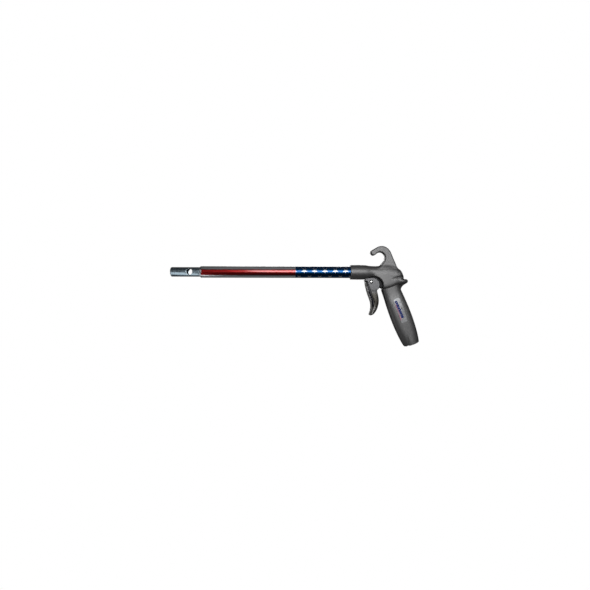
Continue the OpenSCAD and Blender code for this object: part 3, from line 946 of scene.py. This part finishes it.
def film_tube(name, start, end):
    """A thin printed tube, one row of faces to about each 12 mm."""
    segments, rows = 180, max(2, int((end - start) / 12))
    turn = 2 * math.pi * np.arange(segments) / segments
    inner, outer = FILM_R - 0.095, FILM_R
    profile = [(start, inner), (start, outer)]
    profile += [(start + (end - start) * k / rows, outer) for k in range(1, rows + 1)]
    profile += [(end, inner)]
    prof = np.array(profile)
    pts = np.stack([np.broadcast_to(prof[:, 0], (segments, len(prof))),
                    -np.outer(np.cos(turn), prof[:, 1]), np.outer(np.sin(turn), prof[:, 1])], 2)
    piece = new_piece(name, pts, grid_faces(segments, len(prof), True, True))
    face_outwards(piece.data)
    return piece


def make_stripes():
    """Three red and three silver stripes along the tube, each 60 degrees wide."""
    red = film("red_film", (0.23, 0.005, 0.005), (0.29, 0.009, 0.009), 0.95, 0.33, 1.0)
    silver = film("silver_film", (0.58, 0.6, 0.63), (0.68, 0.7, 0.73), 0.95, 0.32, 0.4)
    piece = film_tube("stripe_tube", STRIPES, STARS - 0.03)
    stand_for(piece, "stripe_wrap", "stripe_film", red, silver)
    for face in piece.data.polygons:
        angle = math.degrees(math.atan2(face.center.z - HOME[2], -face.center.y))
        face.material_index = int((angle + 35.5) % 120 >= 60)


def make_star_film():
    """The blue film under the stars."""
    blue = film("blue_film", (0.0, 0.046, 0.15), (0.001, 0.062, 0.19), 0.97, 0.3, 0.25)
    piece = film_tube("star_tube", STARS, FILM_END)
    stand_for(piece, "star_wrap", "star_film", blue)


def make_stars():
    """Silver five-pointed stars laid on the film, point down, in five staggered rows."""
    first, pitch, size, waist, lift = -8.7, 17.15, 5.6, 0.37, 0.03
    pts, faces = [], []
    for row in range(5):
        middle_angle = 12 + 72 * row
        for k in range(6):
            x = first - pitch * k + (pitch / 2 if row in (1, 4) else 0)
            if x > FILM_END + size or x < STARS - size:
                continue
            flat = star_patch(size, waist)
            flat = clipped_star(flat, STARS + 0.1 - x, FILM_END - 0.1 - x)
            base = len(pts)
            for u, v in flat[0]:
                a = math.radians(middle_angle) + v / FILM_R
                r = FILM_R + lift
                pts.append((x + u, -r * math.cos(a), r * math.sin(a)))
            faces += [[base + i for i in f] for f in flat[1]]
    piece = new_piece("star_print", pts, faces)
    dress(piece, film("star_print", (0.27, 0.28, 0.3), (0.33, 0.34, 0.36), 0.85, 0.32, 0.8))


def star_patch(size, waist):
    """A star as rings of points from its middle out, and the faces between them."""
    corners = [(size * (1 if k % 2 == 0 else waist), math.pi * (k / 5 - 0.5)) for k in range(10)]
    outline = []
    for (ra, ta), (rb, tb) in zip(corners, corners[1:] + corners[:1]):
        a = np.array([ra * math.cos(ta), ra * math.sin(ta)])
        b = np.array([rb * math.cos(tb), rb * math.sin(tb)])
        outline += [a + (b - a) * t for t in (0, 0.25, 0.5, 0.75)]
    rings, count = 9, len(outline)
    pts = [np.zeros(2)] + [p * k / rings for k in range(1, rings + 1) for p in outline]
    faces = [(0, 1 + j, 1 + (j + 1) % count) for j in range(count)]
    for k in range(rings - 1):
        for j in range(count):
            a, b = 1 + k * count + j, 1 + k * count + (j + 1) % count
            faces.append((a, a + count, b + count, b))
    return pts, faces


def clipped_star(star, low, high):
    """The star with what lies past the film's ends drawn back to them."""
    pts, faces = star
    return [(min(max(u, low), high), v) for u, v in pts], faces


def grip_skin(u, v, lift):
    """A point lift off the grip's near side: u across, v up from the label's middle."""
    tilt, label_height = math.radians(-1.5), 60.7
    g = u * math.cos(tilt) - v * math.sin(tilt)
    s = label_height + u * math.sin(tilt) + v * math.cos(tilt)
    a, b, n = (float(spline(np.array([s]), GRIP[0], GRIP[k])[0]) for k in range(1, 4))
    y = -b * (1 - abs(g / a) ** n) ** (1 / n) - lift
    return (INLET[0] - s * math.sin(TILT) + g * math.cos(TILT), y,
            INLET[2] + s * math.cos(TILT) + g * math.sin(TILT))


def skin_patch(half_width, low, high, lift, rows, cols, centre=0.0):
    """Points and faces of a patch on the grip; half_width(v) gives its half width at v."""
    pts = []
    for v in np.linspace(low, high, rows):
        w = half_width(v)
        pts += [grip_skin(centre + w * t, v, lift) for t in np.linspace(-1, 1, cols)]
    return pts, grid_faces(rows, cols)


def make_label():
    """A silver plate that follows the grip, with plain colour bars in place of its print."""
    wide, tall, corner = 5.25, 20.6, 2.1

    def plate_half(v):
        over = max(0.0, abs(v) - (tall - corner))
        return wide - corner + math.sqrt(max(corner ** 2 - over ** 2, 0))

    rows, cols = 81, 15
    top, quads = skin_patch(plate_half, -tall, tall, 0.14, rows, cols)
    low, _ = skin_patch(plate_half, -tall, tall, -0.05, rows, cols)
    n = rows * cols
    faces = list(quads) + [tuple(n + i for i in reversed(q)) for q in quads]
    rim = ([j for j in range(cols)] + [i * cols + cols - 1 for i in range(1, rows)]
           + [(rows - 1) * cols + j for j in reversed(range(cols - 1))]
           + [i * cols for i in reversed(range(1, rows - 1))])
    faces += [(rim[k], rim[k - 1], n + rim[k - 1], n + rim[k]) for k in range(len(rim))]
    piece = new_piece("label_skin", top + low, faces, smooth_angle=50)
    face_outwards(piece.data)
    stand_for(piece, "label_plate", "label_film", metal(
        "label_foil", (0.24, 0.25, 0.26), (0.3, 0.3, 0.31), 0.42, 0.8, False, 0.5, 0.05))
    make_bars()


def make_bars():
    """Ten blue bars, a long pink one beside them and a few small grey ones."""
    blue, pink, grey = range(3)
    pts, faces, kinds = [], [], []

    def bar(centre, width, low, high, kind):
        rows = max(3, int((high - low) / 0.6))
        p, q = skin_patch(lambda v: width / 2, low, high, 0.19, rows, 7, centre)
        base = len(pts)
        pts.extend(p)
        faces.extend([[base + i for i in f] for f in q])
        kinds.extend([kind] * len(q))

    for k in range(10):
        top = 17.0 - 3.0 * k
        bar(-1.5 - 0.06 * (top - 2), 4.3, top - 2.7, top, blue)
    bar(-4.5, 0.9, -16, 12, pink)
    bar(2.6, 2.0, 2.0, 4.2, grey)
    for k in range(5):
        bar(3.2, 0.7, 0.4 - 2.0 * k, 1.5 - 2.0 * k, grey)
    piece = new_piece("label_bars", pts, faces)
    dress(piece, ink("blue_ink", (0.001, 0.016, 0.17)), ink("pink_ink", (0.5, 0.13, 0.24)),
          ink("grey_ink", (0.12, 0.12, 0.13)))
    piece.data.polygons.foreach_set("material_index", kinds)


def dress_inner_parts():
    """The CAD nodes that stay get their own procedural materials."""
    rubber_parts = ("cap_o_ring", "seat_o_ring", "stem_o_ring", "pipe_o_ring", "poppet_seal")
    brass_parts = ("valve_seat", "stem_gland", "poppet_retainer", "nozzle_jet")
    steel, bright = (0.6, 0.6, 0.62), (0.75, 0.75, 0.77)
    dress_nodes(rubber_parts, rubber("seal_rubber"))
    dress_nodes(brass_parts, metal("brass", (0.6, 0.43, 0.17), (0.78, 0.6, 0.3), 0.28))
    dress_nodes(("valve_stem",), metal("stem_steel", steel, bright, 0.2))
    dress_nodes(("pin_retaining_ring",), metal("ring_steel", (0.1, 0.1, 0.11), (0.2, 0.2, 0.21), 0.4))
    dress_nodes(("air_pipe",), metal("pipe_metal", steel, bright, 0.3))
    dress_nodes(("outer_sleeve",), metal(
        "sleeve_metal", (0.6, 0.61, 0.63), (0.73, 0.74, 0.76), 0.28, 0.5, True))


def dress_nodes(names, material):
    """Gives several CAD nodes one material."""
    for name in names:
        dress(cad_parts[name], material)


# ---- stage ----

def light(name, azimuth, elevation, distance, wide, tall, power, target):
    """A soft rectangular light that faces target, in metres and watts; azimuth 0 is the front."""
    lamp = bpy.data.lights.new(name, "AREA")
    lamp.shape, lamp.size, lamp.size_y, lamp.energy = "RECTANGLE", wide, tall, power
    a, e = math.radians(azimuth), math.radians(elevation)
    way = Vector((math.sin(a) * math.cos(e), -math.cos(a) * math.cos(e), math.sin(e)))
    piece = bpy.data.objects.new(name, lamp)
    bpy.context.scene.collection.objects.link(piece)
    piece.location = Vector(target) + way * distance
    piece.rotation_mode = "QUATERNION"
    piece.rotation_quaternion = way.to_track_quat("Z", "Y")
    piece.visible_camera = False


def weaker_than_seen(tree, socket, given):
    """Strength 1 as the camera sees it, and given as light on the object."""
    path = tree.nodes.new("ShaderNodeLightPath")
    strength = tree.nodes.new("ShaderNodeMapRange")
    strength.inputs["To Min"].default_value = given
    strength.inputs["To Max"].default_value = 1.0
    tree.links.new(path.outputs["Is Camera Ray"], strength.inputs["Value"])
    tree.links.new(strength.outputs["Result"], socket)


def pale_floor():
    """A plain pale material that gives off little light."""
    material = bpy.data.materials.new("pale_floor")
    material.use_nodes = True
    tree = material.node_tree
    tree.nodes.clear()
    glow = tree.nodes.new("ShaderNodeEmission")
    out = tree.nodes.new("ShaderNodeOutputMaterial")
    tree.links.new(glow.outputs[0], out.inputs["Surface"])
    weaker_than_seen(tree, glow.inputs["Strength"], 0.015)
    return material


def make_stage():
    """A pale floor and surroundings, and soft lights round the object."""
    lo, hi = cad_box
    floor_below = 1.3
    bpy.ops.mesh.primitive_plane_add(size=12, location=((lo.x + hi.x) / 2, 0, lo.z - floor_below))
    floor = bpy.context.object
    floor.name = "floor"
    floor.data.materials.append(pale_floor())
    world = bpy.data.worlds.new("studio")
    bpy.context.scene.world = world
    world.use_nodes = True
    sky = world.node_tree.nodes["Background"]
    sky.inputs["Color"].default_value = (1, 1, 1, 1)
    weaker_than_seen(world.node_tree, sky.inputs["Strength"], 0.014)
    body = (-0.07, 0, 0.09)
    light("key", 3, 16, 1.1, 0.8, 0.6, 9.6, body)
    light("top", 0, 88, 1.1, 1.2, 1.1, 0.5, body)
    light("left", -98, -10, 1.1, 1.0, 1.3, 2.3, body)
    light("under", 180, -68, 1.2, 1.2, 0.6, 0.5, body)
    light("back", 180, 12, 1.3, 1.0, 0.6, 8.0, body)
    nozzle_middle = HOME + np.array([-284, 0, 0]) * MM
    light("nozzle_low", -24, -48, 0.14, 0.06, 0.2, 0.07, nozzle_middle)
    bpy.context.scene.view_settings.view_transform = "Standard"


def make_camera():
    """Level with the object, 580 mm from its middle plane."""
    lens = bpy.data.cameras.new("camera")
    lens.sensor_width, lens.lens = 36.0, 20.99
    lens.clip_start, lens.clip_end = 0.01, 50
    camera = bpy.data.objects.new("camera", lens)
    bpy.context.scene.collection.objects.link(camera)
    # level, with a touch of roll
    camera.location = Vector(HOME) + Vector((-92.73, -580, -38.45)) * MM
    camera.rotation_euler = (math.pi / 2, math.radians(-0.16), 0)
    bpy.context.scene.camera = camera


make_casting()
make_cap()
make_trigger()
make_pin()
make_spring()
make_nozzle()
make_ring()
make_stripes()
make_star_film()
make_stars()
make_label()
dress_inner_parts()
make_stage()
make_camera()
